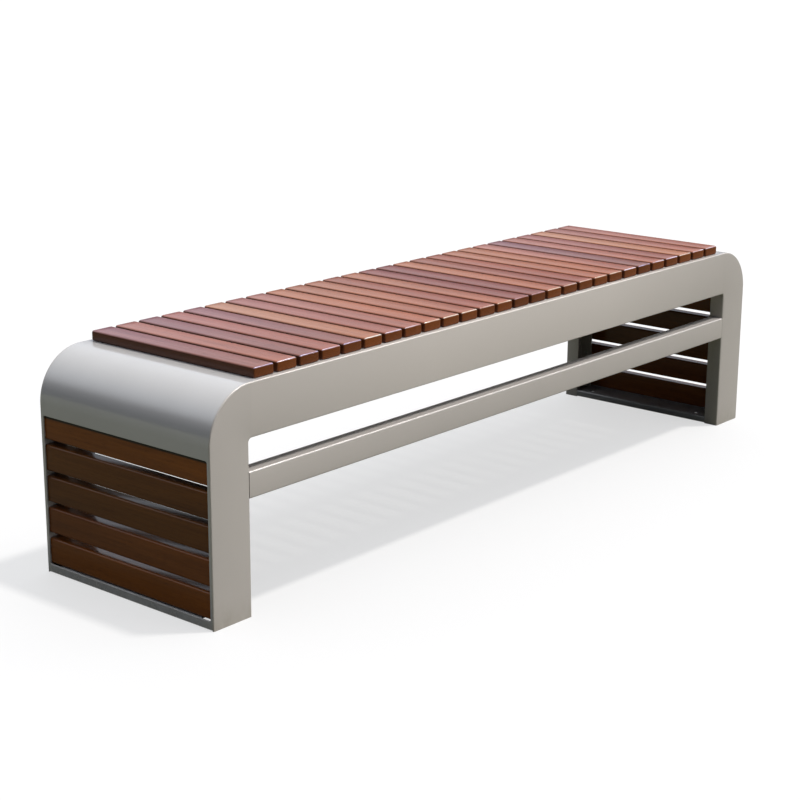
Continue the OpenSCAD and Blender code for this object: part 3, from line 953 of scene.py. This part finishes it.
# %% Paint the tubes
for name in ("left_cross_tube", "right_cross_tube", "middle_bearer"):
    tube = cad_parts[name]
    tube.data.materials.clear()
    tube.data.materials.append(TUBE_PAINT)
print("painted tubes: 3")


# %% [markdown]
# ## Floor, light and camera
#
# A pale floor runs far back, so that the bench stands on an even ground. The light is a high sun from
# the front right, softened, with a bright sky above and a darker horizon, because gloss on the
# shells needs something darker to reflect than an all-white room. Two more lamps are like a studio's
# cards: a low wide one fills the front faces and is left out of reflections, and one at the right
# only draws bright rims on glossy edges.

# %% Floor
def pale_floor():
    """A large square under the bench. The camera sees it pale; reflected, or as a light source, it is
    dimmer, like paving."""
    half = 60.0
    corners = [(-half, -half, 0), (half, -half, 0), (half, half, 0), (-half, half, 0)]
    mesh = bpy.data.meshes.new("floor")
    mesh.from_pydata(corners, [], [(0, 1, 2, 3)])
    material = bpy.data.materials.new("pale floor")
    material.use_nodes = True
    tree = material.node_tree
    shader = tree.nodes["Principled BSDF"]
    shader.inputs["Roughness"].default_value = 0.85
    path = node(tree, "ShaderNodeLightPath")
    dull, reflected, seen = (0.070, 0.074, 0.040, 1), (0.135, 0.141, 0.098, 1), (0.21, 0.21, 0.21, 1)
    colour = mix_colour(tree, path.outputs["Is Glossy Ray"], dull, reflected)
    colour = mix_colour(tree, path.outputs["Is Camera Ray"], colour, seen)
    tree.links.new(colour, shader.inputs["Base Color"])
    shader.inputs["Emission Color"].default_value = (1, 1, 1, 1)
    glow = math_node(tree, "MULTIPLY", path.outputs["Is Camera Ray"], 0.62)
    tree.links.new(glow, shader.inputs["Emission Strength"])
    mesh.materials.append(material)
    floor = bpy.data.objects.new("floor", mesh)
    bpy.context.scene.collection.objects.link(floor)


pale_floor()


# %% Sky and sun
def sky():
    """World light: colour by the height of the direction, from dull ground through a dark horizon to
    a bright zenith. The height is lowered towards the front left, as by trees, and its edge is ragged
    by noise. The camera itself sees plain white."""
    world = bpy.data.worlds.new("sky")
    bpy.context.scene.world = world
    world.use_nodes = True
    tree = world.node_tree
    background = tree.nodes["Background"]
    place = node(tree, "ShaderNodeTexCoord")
    split = node(tree, "ShaderNodeSeparateXYZ")
    tree.links.new(place.outputs["Generated"], split.inputs[0])
    ramp = node(tree, "ShaderNodeValToRGB")
    lean = math_node(tree, "MULTIPLY", split.outputs["X"], 0.12)
    height = math_node(tree, "ADD", split.outputs["Z"], lean)
    front_left = node(tree, "ShaderNodeVectorMath", operation="DOT_PRODUCT")
    tree.links.new(place.outputs["Generated"], front_left.inputs[0])
    front_left.inputs[1].default_value = (-0.74, -0.62, 0.0)
    shaded = math_node(tree, "MAXIMUM", front_left.outputs["Value"], 0.0)
    height = math_node(tree, "SUBTRACT", height, math_node(tree, "MULTIPLY", shaded, 0.6))
    ragged = stretched(tree, place.outputs["Generated"], (1, 1, 2.5), detail=4, roughness=0.65, size=3.2)
    height = math_node(tree, "ADD", height, levels(tree, ragged, 0.25, 0.75, -0.035, 0.035))
    tree.links.new(height, ramp.inputs[0])
    stops = [(0.0, (0.06, 0.065, 0.08)), (0.05, (0.05, 0.054, 0.08)), (0.10, (0.04, 0.044, 0.07)),
             (0.22, (0.06, 0.065, 0.10)), (0.33, (0.60, 0.64, 0.72)), (0.46, (0.80, 0.86, 0.96)),
             (0.66, (0.98, 1.02, 1.08)), (1.0, (1.05, 1.05, 1.08))]
    ramp.color_ramp.elements[0].position, ramp.color_ramp.elements[1].position = 0.0, 1.0
    for position, _ in stops[1:-1]:
        ramp.color_ramp.elements.new(position)
    for element, (_, colour) in zip(ramp.color_ramp.elements, stops):
        element.color = (*colour, 1)
    path = node(tree, "ShaderNodeLightPath")
    seen = mix_colour(tree, path.outputs["Is Camera Ray"], ramp.outputs[0], (1.0, 1.0, 1.0, 1))
    tree.links.new(seen, background.inputs["Color"])
    background.inputs["Strength"].default_value = 1.1


def sun(name, direction, strength, angle, colour):
    """A sun lamp that shines from the given direction."""
    light = bpy.data.lights.new(name, "SUN")
    light.energy, light.angle, light.color = strength, math.radians(angle), colour
    lamp = bpy.data.objects.new(name, light)
    lamp.rotation_mode = "QUATERNION"
    lamp.rotation_quaternion = Vector(direction).to_track_quat("Z", "Y")
    bpy.context.scene.collection.objects.link(lamp)
    return lamp


sky()
sun("key sun", (0.3, -0.27, 1.0), 2.8, 5.0, (1.0, 0.97, 0.93))
edge = sun("edge light", (0.634, -0.317, 0.704), 1.2, 14.0, (1.0, 0.98, 0.98))
edge.visible_diffuse = False
fill = sun("front fill", (0.35, -1.0, 0.06), 2.5, 40.0, (1.0, 0.97, 0.965))
fill.visible_glossy = False
bpy.context.scene.view_settings.view_transform = "Standard"


# %% [markdown]
# ## The camera
#
# The eye stands off the left front corner, a little above the seat, and looks at a point near the
# middle of the bench. An angle round, an angle up and a distance place it, and a long lens keeps the
# length of the bench from being foreshortened too much.

# %% Camera
def look(azimuth, elevation, distance, target, lens, roll):
    """Camera on a sphere round the target: back = (sin a cos e, -cos a cos e, sin e)."""
    a, e = math.radians(azimuth), math.radians(elevation)
    back = Vector((math.sin(a) * math.cos(e), -math.cos(a) * math.cos(e), math.sin(e)))
    data = bpy.data.cameras.new("eye")
    data.lens, data.sensor_width, data.clip_end = lens, 36, 200
    eye = bpy.data.objects.new("eye", data)
    eye.rotation_mode = "QUATERNION"
    eye.location = Vector(target) + back * distance
    eye.rotation_quaternion = (-back).to_track_quat("-Z", "Y")
    eye.rotation_quaternion @= Matrix.Rotation(math.radians(roll), 4, "Z").to_quaternion()
    bpy.context.scene.collection.objects.link(eye)
    bpy.context.scene.camera = eye
    return eye


LENS = 79.1955
AIM = (-0.13545, -0.00169, 0.22)
eye = look(-49.925, 15.414, 3.705, AIM, LENS, 0.316)
print("eye at", [round(v, 3) for v in eye.location])
